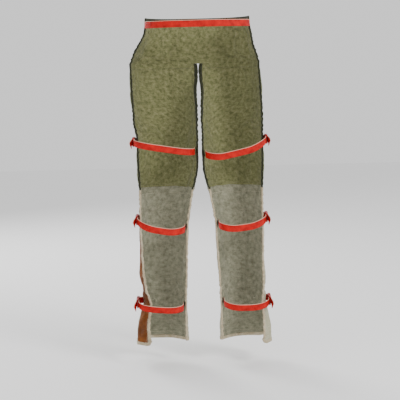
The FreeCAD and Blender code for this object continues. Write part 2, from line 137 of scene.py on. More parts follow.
class Surface:
    """A material under construction: a Principled shader and short ways of adding nodes to it."""

    def __init__(self, name, roughness, sheen, specular):
        self.material = bpy.data.materials.new(name)
        self.material.use_nodes = True
        self.tree = self.material.node_tree
        self.shader = self.tree.nodes["Principled BSDF"]
        self.shader.inputs["Roughness"].default_value = roughness
        self.shader.inputs["Sheen Weight"].default_value = sheen
        self.shader.inputs["Specular IOR Level"].default_value = specular
        self.coordinates = self.add("ShaderNodeTexCoord").outputs["UV"]

    def add(self, kind, links=(), **settings):
        node = self.tree.nodes.new(kind)
        for key, value in settings.items():
            if key in node.bl_rna.properties:
                setattr(node, key, value)
            else:
                node.inputs[key.replace("_", " ")].default_value = value
        for socket, source in dict(links).items():
            self.tree.links.new(source, node.inputs[socket])
        return node

    def scaled(self, x, y, turn=0.0):
        node = self.add("ShaderNodeMapping", {"Vector": self.coordinates})
        node.inputs["Scale"].default_value = (x, y, 1)
        node.inputs["Rotation"].default_value = (0, 0, turn)
        return node.outputs[0]

    def noise(self, scale, detail=3.0, vector=None, rough=0.55):
        links = {"Vector": vector or self.coordinates}
        node = self.add("ShaderNodeTexNoise", links, Scale=scale, Detail=detail, Roughness=rough)
        return node.outputs[0]

    def waves(self, vector, scale):
        return self.add("ShaderNodeTexWave", {"Vector": vector}, Scale=scale).outputs["Fac"]

    def math(self, operation, a, b=0.0):
        node = self.add("ShaderNodeMath", operation=operation)
        for socket, value in zip(node.inputs, (a, b)):
            if isinstance(value, (int, float)):
                socket.default_value = value
            else:
                self.tree.links.new(value, socket)
        return node.outputs[0]

    def ramp(self, factor, *stops):
        node = self.add("ShaderNodeValToRGB", {"Fac": factor})
        elements = node.color_ramp.elements
        while len(elements) < len(stops):
            elements.new(0.5)
        for element, (place, colour) in zip(elements, stops):
            element.position = place
            element.color = colour
        return node.outputs["Color"]

    def mix(self, factor, a, b, blend="MIX"):
        node = self.add("ShaderNodeMix", data_type="RGBA", blend_type=blend)
        for index, value in ((0, factor), (6, a), (7, b)):
            if isinstance(value, bpy.types.NodeSocket):
                self.tree.links.new(value, node.inputs[index])
            else:
                node.inputs[index].default_value = value
        return node.outputs[2]

    def colour(self, source):
        self.tree.links.new(source, self.shader.inputs["Base Color"])

    def roughness(self, factor, low, high):
        node = self.add("ShaderNodeMapRange", {"Value": factor}, To_Min=low, To_Max=high)
        self.tree.links.new(node.outputs[0], self.shader.inputs["Roughness"])

    def bump(self, height, distance, strength=1.0):
        links = {"Height": height}
        if self.shader.inputs["Normal"].is_linked:
            links["Normal"] = self.shader.inputs["Normal"].links[0].from_socket
        node = self.add("ShaderNodeBump", links, Distance=distance, Strength=strength)
        self.tree.links.new(node.outputs[0], self.shader.inputs["Normal"])


def woven(name, thread, tones, mottle, twill):
    """A woven cloth. thread is the yarn's pitch; tones are its dark, middle and light colours, and mottle the
    size of the patches between them."""
    cloth = Surface(name, 0.9, 0.08, 0.15)
    dark, middle, light = (linear(*tone) for tone in tones)
    pitch = 0.5 / thread
    turn = math.radians(45) if twill else 0.0
    rib = cloth.waves(cloth.scaled(pitch, pitch, turn), 0.63)
    across = cloth.waves(cloth.scaled(pitch, pitch, turn + math.radians(90)), 0.63)
    weave = cloth.math("MULTIPLY", rib, across) if not twill else cloth.math(
        "ADD", cloth.math("MULTIPLY", rib, 0.75), cloth.math("MULTIPLY", across, 0.25))
    patches = cloth.noise(0.5 / mottle, 5.0, rough=0.65)
    base = cloth.ramp(patches, (0.36, dark), (0.5, middle), (0.66, light))
    slub = cloth.noise(1.0, 2.0, cloth.scaled(0.05 / thread, 0.7 / thread))
    base = cloth.mix(0.35, base, cloth.ramp(slub, (0.3, dark), (0.7, light)))
    grime = cloth.noise(6.0, 4.0)
    base = cloth.mix(cloth.math("MULTIPLY", cloth.math("SUBTRACT", grime, 0.42), 0.9), base, dark)
    shade = cloth.ramp(weave, (0.1, (0.62, 0.62, 0.62, 1)), (0.8, (1.08, 1.08, 1.08, 1)))
    cloth.colour(cloth.mix(0.8, base, shade, "MULTIPLY"))
    cloth.roughness(weave, 0.96, 0.82)
    cloth.bump(weave, thread * 0.35, 0.8)
    cloth.bump(cloth.noise(130.0, 3.0), 0.6 * MM, 0.35)
    cloth.bump(cloth.noise(1.0, 3.0, cloth.scaled(7, 22, math.radians(12))), 20 * MM, 0.6)
    return cloth.material


def webbing(name, tones, edge):
    """Narrow woven webbing: ribs across it, a chevron weave, and a pale band along its upper edge that is a
    painted highlight.
    """
    tape = Surface(name, 0.7, 0.0, 0.2)
    dark, middle, light = (linear(*tone) for tone in tones)
    parts = tape.add("ShaderNodeSeparateXYZ", {"Vector": tape.coordinates})
    across, along = parts.outputs["X"], parts.outputs["Y"]
    fold = tape.math("ABSOLUTE", tape.math("SUBTRACT", tape.math("FRACT", tape.math(
        "MULTIPLY", across, 160.0)), 0.5))
    chevron = tape.math("SINE", tape.math("ADD", tape.math(
        "MULTIPLY", along, 3900.0), tape.math("MULTIPLY", fold, 9.0)))
    rows = tape.math("SINE", tape.math("MULTIPLY", across, 5600.0))
    weave = tape.math("ADD", tape.math("MULTIPLY", chevron, 0.3), tape.math(
        "ADD", tape.math("MULTIPLY", rows, 0.2), 0.5))
    wear = tape.noise(45.0, 4.0)
    base = tape.ramp(wear, (0.3, dark), (0.5, middle), (0.75, light))
    shade = tape.ramp(weave, (0.05, (0.6, 0.6, 0.6, 1)), (0.8, (1.12, 1.12, 1.12, 1)))
    base = tape.mix(0.75, base, shade, "MULTIPLY")
    # Painted highlight: a pale band along the webbing's upper edge, where light from above catches it.
    rim = tape.math("GREATER_THAN", across, edge)
    tape.colour(tape.mix(tape.math("MULTIPLY", rim, 0.65), base, linear(226, 196, 170)))
    tape.roughness(wear, 0.55, 0.75)
    tape.bump(weave, 0.3 * MM, 0.9)
    return tape.material


def moulded(name, tones):
    """Moulded nylon: faintly grained, a little paler and rougher where it has been handled."""
    plastic = Surface(name, 0.42, 0.0, 0.35)
    plastic.coordinates = plastic.add("ShaderNodeTexCoord").outputs["Object"]
    dark, middle, light = (linear(*tone) for tone in tones)
    handled = plastic.noise(60.0, 4.0)
    plastic.colour(plastic.ramp(handled, (0.3, dark), (0.5, middle), (0.72, light)))
    plastic.roughness(plastic.noise(220.0, 3.0), 0.3, 0.5)
    plastic.bump(plastic.noise(1400.0, 2.0), 0.08 * MM, 0.5)
    return plastic.material


def thread(name, colour):
    """Twisted sewing thread."""
    cotton = Surface(name, 0.7, 0.3, 0.3)
    pale, dark = linear(*colour), linear(*(v * 0.7 for v in colour))
    lay = cotton.waves(cotton.scaled(1500.0, 1500.0, math.radians(35)), 1.0)
    cotton.colour(cotton.mix(lay, dark, pale))
    cotton.bump(lay, 0.1 * MM)
    return cotton.material


def plain_floor():
    floor = Surface("studio_floor", 0.8, 0.0, 0.2)
    floor.colour(floor.ramp(floor.noise(3.0, 2.0), (0.3, (0.9, 0.9, 0.9, 1)), (0.7, (0.94, 0.94, 0.94, 1))))
    return floor.material


# ---- meshes ----

def new_object(name, points, faces, uvs=None, material=None):
    """A smooth-shaded mesh object from points (n, 3), index faces and a UV for each point."""
    mesh = bpy.data.meshes.new(name)
    mesh.from_pydata(np.asarray(points).reshape(-1, 3).tolist(), [], [tuple(f) for f in faces])
    if uvs is not None:
        loops = np.empty(len(mesh.loops), dtype=np.int64)
        mesh.loops.foreach_get("vertex_index", loops)
        layer = mesh.uv_layers.new(name="UVMap")
        layer.data.foreach_set("uv", np.asarray(uvs).reshape(-1, 2)[loops].ravel())
    mesh.shade_smooth()
    mesh.update()
    obj = bpy.data.objects.new(name, mesh)
    bpy.context.scene.collection.objects.link(obj)
    if material:
        mesh.materials.append(material)
    return obj


def grid_faces(rows, columns, start=0, flip=False, closed=False):
    """Quads of a grid of points numbered row by row; closed joins the last column to the first."""
    faces = []
    for row in range(rows - 1):
        for column in range(columns if closed else columns - 1):
            beside = (column + 1) % columns
            quad = [row * columns + column, row * columns + beside,
                    (row + 1) * columns + beside, (row + 1) * columns + column]
            faces.append([start + i for i in (quad[::-1] if flip else quad)])
    return faces


def slab(name, outer, inner, uvs, material, mirrored=False):
    """A closed sheet between two grids of points of the same shape (rows, columns, 3)."""
    rows, columns = outer.shape[:2]
    count = rows * columns
    faces = grid_faces(rows, columns, 0, mirrored) + grid_faces(rows, columns, count, not mirrored)
    index = np.arange(count).reshape(rows, columns)
    rim = np.concatenate([index[0, :-1], index[:-1, -1], index[-1, :0:-1], index[:0:-1, 0]])
    for here, there in zip(rim, np.roll(rim, -1)):
        quad = [here, here + count, there + count, there]
        faces.append(quad if mirrored else quad[::-1])
    points = np.concatenate([outer.reshape(-1, 3), inner.reshape(-1, 3)])
    return new_object(name, points, faces, np.concatenate([uvs.reshape(-1, 2)] * 2), material)


def swept(name, loops, uvs, material, flip=False):
    """A closed profile carried along a path: loops is (rows, profile points, 3). Its ends are capped."""
    rows, columns = loops.shape[:2]
    faces = grid_faces(rows, columns, 0, flip, closed=True)
    first, last = list(range(columns)), list(range((rows - 1) * columns, rows * columns))
    faces += [first if flip else first[::-1], last[::-1] if flip else last]
    return new_object(name, loops, faces, uvs, material)


def smoothstep(value):
    """0 below 0, 1 above 1, and a smooth rise between."""
    value = np.clip(value, 0.0, 1.0)
    return value * value * (3 - 2 * value)


def unit(vectors):
    """Vectors of length 1 with the same directions."""
    return vectors / np.linalg.norm(vectors, axis=-1, keepdims=True)


def run_along(points):
    """The distance of each point from the first one, along the line through them."""
    return np.concatenate([[0], np.cumsum(np.linalg.norm(np.diff(points, axis=0), axis=1))])


def read_along(at, run, values):
    """The values (n, 3) that belong to the distances run, read at other distances."""
    return np.stack([np.interp(at, run, column) for column in values.T], -1)


# ---- the wrapped surfaces ----

# How far the outer side of the cloth hangs away from the body's even shape, as (height in m, outward in mm):
# the left hip stands off and the right one hugs, and both lower wings swing out below the calf strap.
LEFT_HANG = np.array((
    (-0.96, 17), (-0.90, 13), (-0.836, 1), (-0.80, 11), (-0.75, 12), (-0.66, 1), (-0.33, 0),
    (-0.29, 8), (-0.20, 10), (-0.16, 9), (-0.11, 10), (-0.07, 8), (-0.03, 0),
))
RIGHT_HANG = np.array((
    (-0.96, 9), (-0.90, 7), (-0.836, 1), (-0.79, 5), (-0.70, 0), (-0.27, 0),
    (-0.20, -5), (-0.16, -9), (-0.12, -12), (-0.07, -9), (-0.03, 0),
))
# How far each lower wing turns in behind the leg beyond the section's own wrap, the share of the section that
# does so, and the height from which it comes in.
WING_CURL = {"left": 28 * MM, "right": 9 * MM}
CURL_SHARE, CURL_FROM, CURL_RUN = 0.3, KNEE_SEAM - 110 * MM, 250 * MM
# The distances from the body's middle between which the hang comes in.
HANG_FROM, HANG_TO = 100 * MM, 165 * MM


def hang(points):
    """Points of the cloth moved sideways by how the outer edges hang. The middle of the body stays put."""
    x, z = points[..., 0], points[..., 2]
    out = np.where(x > 0, np.interp(z, *LEFT_HANG.T), -np.interp(z, *RIGHT_HANG.T))
    moved = points.copy()
    moved[..., 0] += out * MM * smoothstep((np.abs(x) - HANG_FROM) / (HANG_TO - HANG_FROM))
    return moved


class Wrap:
    """A wrapped cloth surface: gives the place of a distance along the section, a height and a depth."""

    def __init__(self, sections, side=1, halves=False):
        self.side, self.halves, self.curl = side, halves, 0.0
        ends = [2 * sections[0] - sections[1], 2 * sections[-1] - sections[-2]]
        self.rows = np.vstack([ends[0], sections, ends[1]])[::-1]
        self.drift_heights, self.drift_shares = np.array([-9.0, 9.0]), np.array([0.0, 1.0])
        self.drift = np.zeros((2, 2, 3))

    def section(self, z):
        """The section's sizes at heights z, in metres and radians, eased across the levels."""
        nearby = [z + offset * SECTION_SOFTNESS for offset in (-1.5, -0.75, 0.0, 0.75, 1.5)]
        heights, *columns = self.rows.T
        eased_columns = [np.mean([np.interp(level, heights * MM, column) for level in nearby], axis=0)
                         for column in columns]
        radius, x, y, turn, inner_run, wrap, wing = eased_columns
        start, end = np.radians(180 + turn), np.radians(360 + wrap)
        return radius * MM, x * MM, y * MM, start, end, inner_run * MM, wing * MM

    def width(self, z):
        """The section's length from the inner edge (or the middle, on the apron) to the outer edge."""
        radius, _, _, start, end, inner_run, wing = self.section(z)
        return inner_run + radius * (end - start) + wing

    def bare(self, along, z, depth):
        """The place before the cloth settles. along is a distance from the inner edge, depth is outward."""
        radius, x, y, start, end, inner_run, _ = self.section(z)
        past = np.abs(along) - inner_run if self.halves else along - inner_run
        arc = radius * (end - start)
        angle = start + np.clip(past, 0, arc) / radius
        straight = np.minimum(past, 0) + np.maximum(past - arc, 0)
        out = radius + depth
        place_x = x + out * np.cos(angle) - straight * np.sin(angle)
        place_y = y + out * np.sin(angle) + straight * np.cos(angle)
        if self.halves:
            place_x = place_x * np.where(along < 0, -1.0, 1.0)
        return np.stack(np.broadcast_arrays(place_x, place_y, z), axis=-1)

    def share(self, along, z):
        width = self.width(z)
        return (along + width) / (2 * width) if self.halves else along / width

    def place(self, along, z, depth):
        """Where the settled cloth has that distance, height and depth, on this wrap's side of the body."""
        along, z, depth = np.broadcast_arrays(along, z, depth)
        share = self.share(along, z)
        moved = self.bare(along, z, depth) + self.drift_at(share, z)
        turned_in = smoothstep((share - 1) / CURL_SHARE + 1) * smoothstep((CURL_FROM - z) / CURL_RUN)
        moved[..., 0] -= self.curl * turned_in
        return hang(moved * (self.side, 1, 1))

    def drift_at(self, share, z):
        """The drift at shares of the width and heights, read between the points of the settled grid."""
        rows = np.interp(z, self.drift_heights, np.arange(len(self.drift_heights)))
        columns = np.interp(share, self.drift_shares, np.arange(len(self.drift_shares)))
        row = np.minimum(rows.astype(int), len(self.drift_heights) - 2)
        column = np.minimum(columns.astype(int), len(self.drift_shares) - 2)
        down, over = (rows - row)[..., None], (columns - column)[..., None]
        top = self.drift[row, column] * (1 - over) + self.drift[row, column + 1] * over
        low = self.drift[row + 1, column] * (1 - over) + self.drift[row + 1, column + 1] * over
        return top * (1 - down) + low * down


# ---- how the cloth settles ----

# The cloth is this share too long for its frame, and moves this far at most.
CLOTH_GROWTH, DRIFT_CAP = 0.05, 9 * MM
SETTLING_FRAMES = 22
# How far in an edge holds the cloth, as a share of its width.
EDGE_REACH = 0.03
# One seed for the start of each settled surface, so each has folds of its own.
SEEDS = {"left": 11, "right": 23, "apron": 37}


def settled(points, hold, seed):
    """How far each point of a grid of cloth moves when it is a little too long for where it is held."""
    rows, columns = points.shape[:2]
    rough = np.random.default_rng(seed).normal(0, 0.5 * MM, points.shape)
    obj = new_object("settling", points + rough * (1 - hold[..., None]), grid_faces(rows, columns))
    group = obj.vertex_groups.new(name="held")
    for index, weight in enumerate(hold.ravel().tolist()):
        group.add([index], weight, "REPLACE")
    modifier = obj.modifiers.new("cloth", "CLOTH")
    settings = modifier.settings
    settings.quality = 6
    settings.mass = 0.35
    settings.tension_stiffness = settings.compression_stiffness = 22
    settings.shear_stiffness = 8
    settings.bending_stiffness = 2.2
    settings.vertex_group_mass = "held"
    settings.shrink_min = settings.shrink_max = -CLOTH_GROWTH
    modifier.collision_settings.use_collision = False
    scene = bpy.context.scene
    for step in range(1, SETTLING_FRAMES + 1):
        scene.frame_set(step)
    final = np.empty(rows * columns * 3, dtype=np.float32)
    obj.evaluated_get(bpy.context.evaluated_depsgraph_get()).data.vertices.foreach_get("co", final)
    bpy.data.objects.remove(obj, do_unlink=True)
    scene.frame_set(1)
    moved = final.reshape(points.shape) - points
    size = np.maximum(np.linalg.norm(moved, axis=-1, keepdims=True), 1e-9)
    return moved / size * DRIFT_CAP * np.tanh(size / DRIFT_CAP)


def settle(wrap, heights, shares, hold, seed):
    """Give a wrap the drift of its cloth. hold is 1 where the cloth can't move and 0 where it is free."""
    z = heights[:, None]
    along = wrap.width(z) * (shares[None, :] * 2 - 1 if wrap.halves else shares[None, :])
    drift = settled(
        wrap.bare(along, z, -LEG_THICK / 2), hold, seed)
    wrap.drift_heights, wrap.drift_shares, wrap.drift = heights[::-1], shares, drift[::-1]


def near(values, place, reach):
    """1 at a place, and falling to nothing beyond a reach from it."""
    return np.exp(-((values - place) / reach) ** 2)


def edges(share, hold):
    """A hold along both side edges of a surface."""
    return np.maximum(near(share, 0, EDGE_REACH), near(share, 1, EDGE_REACH)) * hold


def leg_wrap(side_name):
    """A leg's settled surface, held at the waist seam, along its edges, and where straps pull on it."""
    wrap = Wrap(LEG_SECTIONS, SIDES[side_name])
    wrap.curl = WING_CURL[side_name]
    heights = np.arange(HIP_SEAM, HEM - 6 * MM, -6.5 * MM)
    shares = np.linspace(0, 1, 47)
    z, share = heights[:, None], shares[None, :]
    hold = np.maximum(near(z, HIP_SEAM, 25 * MM), edges(share, 0.55))
    for row in STRAP_ROWS:
        low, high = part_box(f"left_{row}_receptacle")
        level = (low.z + high.z) / 2
        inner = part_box(f"left_{row}_strap")[0].z + WEBBING_WIDTH / 2
        hold = np.maximum(hold, near(z, level, 20 * MM) * smoothstep((share - 0.5) * 5))
        hold = np.maximum(hold, near(z, inner, 16 * MM) * near(share, 0, 0.1))
    settle(wrap, heights, shares, hold, SEEDS[side_name])
    return wrap


def apron_wrap():
    """The apron's surface, settled. The belt and the seams of the legs hold it."""
    wrap = Wrap(APRON_SECTIONS, 1, halves=True)
    heights = np.arange(RIM + 2 * MM, HIP_SEAM - 3 * MM, -5 * MM)
    shares = np.linspace(0, 1, 61)
    z, share = heights[:, None], shares[None, :]
    hold = np.maximum(near(z, HIP_SEAM, 12 * MM), smoothstep((z + 26 * MM) / (10 * MM)))
    settle(wrap, heights, shares, np.maximum(hold, edges(share, 0.5)), SEEDS["apron"])
    return wrap


# ---- sewn cloth ----

SEWN_THICK = 3.4 * MM
STITCH_ROW = 13 * MM
PUFF_REACH = 30 * MM
SINK_RUN = 35 * MM
SHELL_THICK, LINING_THICK = 0.9 * MM, 0.8 * MM
LAYER_GAP = 0.25 * MM
TUCK = 1.5 * MM
LAP, HIP_LAP = 7 * MM, 3 * MM
TAPE_LAP, TAPE_END, TAPE_HALF, TAPE_THICK = 3 * MM, 7.6 * MM, 2.6 * MM, 0.7 * MM
TAPE_CORNER, TAPE_STEP = 9 * MM, 4 * MM
FACING_GAP, FACING_WIDTH, FACING_THICK = 3 * MM, 48 * MM, 0.9 * MM


def middle(wrap, z, full):
    """Depth of a panel's middle at heights z. The apron's sinks to that of the thicker legs at their seam."""
    sink = (LEG_THICK - full) / 2 * smoothstep((HIP_SEAM + SINK_RUN - z) / SINK_RUN)
    return -full / 2 - (sink if wrap.halves else 0.0)


def thickness(distance, full):
    """The quilted thickness at a distance in from the sewn outline."""
    rise = smoothstep(distance / PUFF_REACH)
    groove = 1.7 * MM * near(distance, STITCH_ROW, 2.6 * MM)
    return SEWN_THICK + (full - SEWN_THICK) * rise - groove * (full > SEWN_THICK)


def spread(low, high, step=6 * MM, close=2 * MM, zone=32 * MM):
    """Places from low to high, close together near both ends. low and high may be columns."""
    ends = np.arange(0, zone, close)
    shares = np.linspace(0, 1, max(3, int(np.max(high - low) / step)))[1:-1]
    first, last = low + ends, high - ends[::-1]
    start, stop = low + ends[-1], high - ends[-1]
    return np.concatenate([first, start + (stop - start) * shares, last], axis=-1)


class Panel:
    """One quilted panel of a wrap between two heights: its thickness and the places of its layers."""

    def __init__(self, wrap, top, bottom, full):
        self.wrap, self.top, self.bottom, self.full = wrap, top, bottom, full

    def faces(self, along, z):
        """Depth of the outer and the inner face."""
        width = self.wrap.width(z)
        in_from_side = (width - np.abs(along)) if self.wrap.halves else np.minimum(along, width - along)
        distance = np.minimum(in_from_side, np.minimum(self.top - z, z - self.bottom))
        thick = thickness(np.maximum(distance, 0), self.full)
        centre = middle(self.wrap, z, self.full)
        return centre + thick / 2, centre - thick / 2

    def grid(self, tuck, lap_up=0.0):
        """Distances along and heights that cover the panel, its tucked sides and the lap over its seam."""
        low_z = self.bottom - (tuck if lap_up else 0)
        z = spread(np.array([low_z]), np.array([self.top + lap_up]))[::-1][:, None]
        width = self.wrap.width(z)
        return spread(-width * self.wrap.halves - tuck, width + tuck), z

    def layer(self, name, material, from_face, near_depth, far_depth, tuck=TUCK, lap=0.0):
        """A closed layer. The depths are in from the outer face (from_face 0) or the inner one (1)."""
        along, z = self.grid(tuck, abs(lap))
        along, z = np.broadcast_arrays(along, z)
        face = self.faces(along, z)[from_face]
        over = lap_lift(z - self.top) * np.sign(lap)
        sign = (-1, 1)[from_face]
        outer = self.wrap.place(along, z, face + sign * near_depth + over)
        inner = self.wrap.place(along, z, face + sign * far_depth + over)
        if from_face:
            outer, inner = inner, outer
        return slab(name, outer, inner, np.stack([along, z], -1), material, self.wrap.side < 0)


def lap_lift(above):
    """How far a lapped seam stands off the panel under it, for a height above the seam."""
    return 1.1 * MM * smoothstep(above / (2 * MM) + 1)


def tape_profile():
    """A tape folded over an edge, as (distance past the edge, depth from the middle) round its outline."""
    turn = np.radians(np.linspace(90, -90, 9))
    bend_at = TAPE_END - TAPE_HALF
    flats = np.linspace(-TAPE_LAP, bend_at, 5)[:-1]
    outline = []
    for half, step in ((TAPE_HALF, 1), (TAPE_HALF - TAPE_THICK, -1)):
        bend = np.stack([bend_at + half * np.cos(turn), half * np.sin(turn)], -1)
        upper = np.stack([flats, np.full(4, half)], -1)
        lower = np.stack([flats[::-1], np.full(4, -half)], -1)
        outline.append(np.concatenate([upper, bend, lower])[::step])
    return np.concatenate(outline)


def edge_at(wrap, z):
    """How far along the outer edge is at one height."""
    return float(wrap.width(np.array(z)))


def round_corner(along, z, radius, start, stop):
    """A rounded corner of an outline about a centre, as rows of (along, z, out_along, out_z)."""
    return [(along + radius * math.cos(t), z + radius * math.sin(t), math.cos(t), math.sin(t))
            for t in np.radians(np.linspace(start, stop, 7))]


def edge_path(wrap, spans, corner=TAPE_CORNER, step=TAPE_STEP):
    """The outline along which a leg's tape runs, as rows of (along, z, out_along, out_z).

    spans lists the sides in order: ("inner" or "outer", from_z, to_z) or ("hem", z).
    """
    rows = []
    for kind, *ends in spans:
        if kind == "hem":
            z, width = ends[0], edge_at(wrap, ends[0])
            rows += round_corner(corner, z + corner, corner, 180, 270)
            rows += [(a, z, 0, -1) for a in np.arange(corner + step, width - corner, step)]
            rows += round_corner(width - corner, z + corner, corner, 270, 360)
        else:
            for z in np.linspace(*ends, max(2, int(abs(ends[1] - ends[0]) / step))):
                rows.append((0.0, z, -1, 0) if kind == "inner" else (edge_at(wrap, z), z, 1, 0))
    return np.array(rows)


def tape(name, wrap, full, path, material):
    """Binding tape folded over an edge of a panel."""
    profile = tape_profile()
    along, z, out_along, out_z = (path[:, column, None] for column in range(4))
    out, depth = profile[None, :, 0], profile[None, :, 1]
    loops = wrap.place(along + out_along * out, z + out_z * out, middle(wrap, z, full) + depth)
    uvs = np.stack(np.broadcast_arrays(run_along(profile)[None, :], run_along(path[:, :2])[:, None]), -1)
    return swept(name, loops, uvs, material, wrap.side > 0)


def tape_rows(wrap, path, full):
    """The stitches that hold a tape: a row on each face, as (along, z, depth, outward)."""
    along = path[:, 0] - path[:, 2] * TAPE_LAP / 2
    z = path[:, 1] - path[:, 3] * TAPE_LAP / 2
    return [(along, z, middle(wrap, z, full) + way * TAPE_HALF * np.ones(len(z)), way) for way in (1, -1)]


STITCH_PITCH, STITCH_LENGTH, THREAD_RADIUS = 4.2 * MM, 3.2 * MM, 0.42 * MM


def stitch_shape():
    """One stitch: a flattened bead along x, with z up, as points and faces."""
    rings, around = 5, 6
    points = [(-1, 0, 0)]
    for ring in range(1, rings):
        lie = -math.cos(math.pi * ring / rings)
        fat = math.sin(math.pi * ring / rings) ** 0.5
        points += [(lie, fat * math.cos(2 * math.pi * k / around), fat * math.sin(2 * math.pi * k / around))
                   for k in range(around)]
    points.append((1, 0, 0))
    faces = [(0, 1 + (k + 1) % around, 1 + k) for k in range(around)]
    faces += [tuple(f) for f in grid_faces(rings - 1, around, 1, closed=True)]
    last = len(points) - 1
    faces += [(last, last - around + k, last - around + (k + 1) % around) for k in range(around)]
    return np.array(points) * (STITCH_LENGTH / 2, THREAD_RADIUS, THREAD_RADIUS), faces


def stitched(name, rows, material, body=None):
    """Stitches along rows of world points: each row is (points, normals), both (n, 3)."""
    shape, shape_faces = stitch_shape()
    points, faces, uvs = [], [], []
    for line, normals in rows:
        run = run_along(line)
        at = np.arange(STITCH_PITCH, run[-1] - STITCH_PITCH / 2, STITCH_PITCH)
        centre = read_along(at, run, line)
        tangent, up = unit(read_along(at + MM, run, line) - centre), unit(read_along(at, run, normals))
        beside = unit(np.cross(up, tangent))
        up = np.cross(tangent, beside)
        for c, t, b, n in zip(centre, tangent, beside, up):
            faces += [tuple(i + len(points) * len(shape) for i in face) for face in shape_faces]
            points.append(c + shape @ np.array([t, b, n]))
            uvs.append(shape[:, :2])
    piece = new_object(name, np.concatenate(points), faces, np.concatenate(uvs), material)
    declare(piece, body)
    return piece


def on_wrap(wrap, rows):
    """Rows of (along, z, depth, way) as world points and normals."""
    made = []
    for along, z, depth, way in rows:
        here = wrap.place(along, z, depth)
        made.append((here, unit(wrap.place(along, z, depth + way * MM) - here)))
    return made


def quilt_rows(panel, face, way):
    """The row of stitches that runs round inside a panel's outline, on one face."""
    count = 90
    high, low = panel.top - STITCH_ROW, panel.bottom + STITCH_ROW
    down = np.linspace(high, low, count)
    rows = [(np.full(count, STITCH_ROW), down), (panel.wrap.width(down) - STITCH_ROW, down)]
    rows += [(np.linspace(STITCH_ROW, edge_at(panel.wrap, z) - STITCH_ROW, count), np.full(count, z))
             for z in (high, low)]
    return [(along, z, panel.faces(along, z)[face], way) for along, z in rows]


# ---- webbing ----

WEBBING_THICK = 1.5 * MM
WEBBING_STEP = 3 * MM
# A box stitch's distance from the webbing's edges, and where a strap's and a tab's lie, from the strip's end.
BOX_INSET = 3 * MM
STRAP_BOX, TAB_BOX = (-15 * MM, -2.5 * MM), (-22 * MM, -3 * MM)


def eased(points, reach, step=WEBBING_STEP):
    """A path through points with its corners rounded over a reach, at an even step."""
    points = np.asarray(points, float)
    run = run_along(points)
    at = np.linspace(0, run[-1], max(8, int(run[-1] / step)))
    taps = np.linspace(-1, 1, 9)
    room = np.minimum(reach, np.minimum(at, run[-1] - at))[:, None]
    weights = np.cos(taps * math.pi / 2) ** 2 + 1e-6
    spots = at[:, None] + room * taps
    return np.stack([(np.interp(spots, run, line) * weights).sum(1) / weights.sum() for line in points.T], -1)


def ribbon(name, path, across, material, width=WEBBING_WIDTH, thick=WEBBING_THICK):
    """Webbing along a path. across is the direction of its width, one for all or one for each point."""
    tangent = unit(np.gradient(path, axis=0))
    across = np.broadcast_to(np.asarray(across, float), path.shape)
    across = unit(across - (across * tangent).sum(-1, keepdims=True) * tangent)
    normal = np.cross(tangent, across)
    half = width / 2
    fractions = np.array([-1, -0.93, -0.6, -0.2, 0.2, 0.6, 0.93, 1])
    lift = np.array([0.35, 1, 0.9, 1, 1, 0.9, 1, 0.35])
    over = np.concatenate([fractions, fractions[::-1]])
    height = np.concatenate([lift, -lift]) * thick / 2
    loops = path[:, None] + across[:, None] * (over * half)[:, None] + normal[:, None] * height[:, None]
    run = run_along(path)
    uvs = np.stack(np.broadcast_arrays((over[None, :] + 1) * half, run[:, None]), -1)
    return swept(name, loops, uvs, material), (path, across, normal)


def box_stitch(strip, start, stop, face):
    """A box stitch with its cross, on one face of a webbing strip. start and stop count back from its end."""
    path, across, normal = strip
    run = run_along(path)
    start, stop = run[-1] + start, run[-1] + stop
    half = WEBBING_WIDTH / 2 - BOX_INSET
    corners = [(start, -half), (stop, -half), (stop, half), (start, half), (start, -half)]
    lines = [*zip(corners, corners[1:]), ((start, -half), (stop, half)), ((stop, -half), (start, half))]
    rows = []
    for (from_run, from_over), (to_run, to_over) in lines:
        at, over = np.linspace(from_run, to_run, 14), np.linspace(from_over, to_over, 14)[:, None]
        here, aside, up = (read_along(at, run, source) for source in (path, across, normal))
        rows.append((here + aside * over + up * face * WEBBING_THICK * 0.5, up * face))
    return rows


STRAP_ROWS = ("thigh", "knee", "calf")
STRAP_BODY = {"thigh": "thigh", "knee": "shin", "calf": "shin"}
STRAP_CORNER = 46 * MM
# The sideways lean of a strap's width at its middle, and the share of a strap, from the lock, that keeps its
# tight bend before it eases out loosely.
STRAP_TWIST = {"thigh": 0.16, "knee": -0.096, "calf": 0.16}
RELEASED_SHARE = 0.08
# From a tongue's far end to the slot of its ladder lock.
LOCK_SLOT = 15 * MM
# How much lower than a straight line a strap hangs behind the leg, as the slack of each one has it.
STRAP_SAG = {
    "left_thigh": 3 * MM, "right_thigh": 20 * MM,
    "left_knee": 13 * MM, "right_knee": 14 * MM,
    "left_calf": 3 * MM, "right_calf": 8 * MM,
}
# How much lower than its CAD level each strap is sewn to the inner edge.
STRAP_DROP = {
    "left_thigh": 5 * MM, "right_thigh": 14 * MM,
    "left_knee": 4 * MM, "right_knee": -6 * MM,
    "left_calf": 0, "right_calf": -11 * MM,
}


def arc_points(centre, radius, start, stop, count=12):
    """Points (x, y) round a centre from one bearing to another, in degrees."""
    turns = np.radians(np.linspace(start, stop, count))
    return [(centre[0] + radius * math.cos(t), centre[1] + radius * math.sin(t)) for t in turns]


